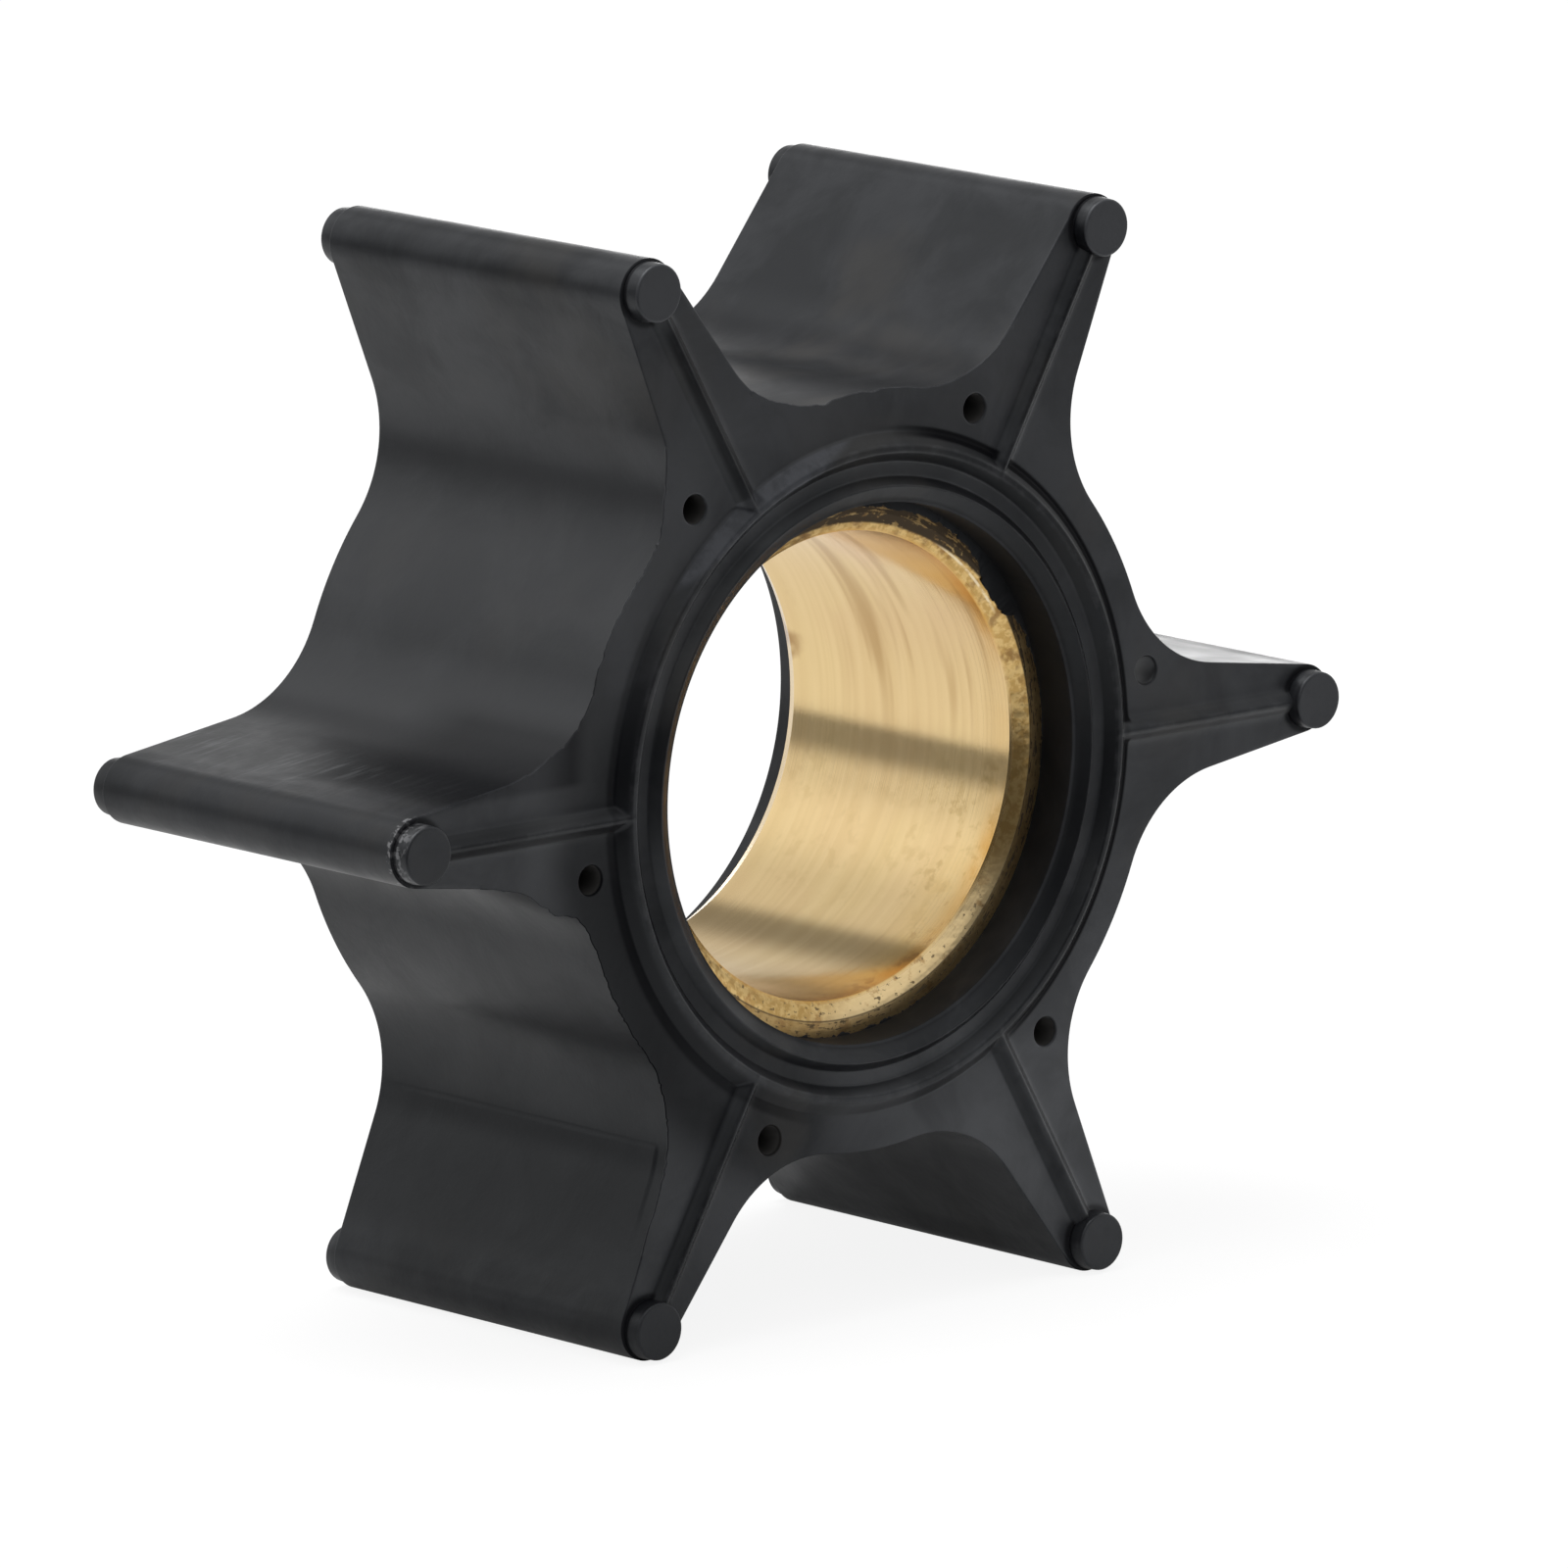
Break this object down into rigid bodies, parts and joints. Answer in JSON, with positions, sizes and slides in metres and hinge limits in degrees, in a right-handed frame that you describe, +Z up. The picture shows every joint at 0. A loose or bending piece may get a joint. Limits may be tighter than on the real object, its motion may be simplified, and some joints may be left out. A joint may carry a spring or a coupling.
{
  "type": "rubber pump impeller",
  "caption": "Moulded rubber impeller with straight flexible vanes round a keyed brass bush, with sealing rings, ribs and round buttons on its end faces.",
  "frame": {"origin": "middle of the bore, halfway between the two ends", "axes": "Y along the bore with the front face towards -Y, +X to the right seen from the front, +Z up"},
  "size_m": [0.0676, 0.0254, 0.059],
  "materials": {
    "black_rubber": "satin moulded rubber",
    "bush_brass": "turned, dulled"
  },
  "bodies": {
    "root": {"vane_body": "black_rubber", "hub_bush": "bush_brass"}
  },
  "joints": []
}
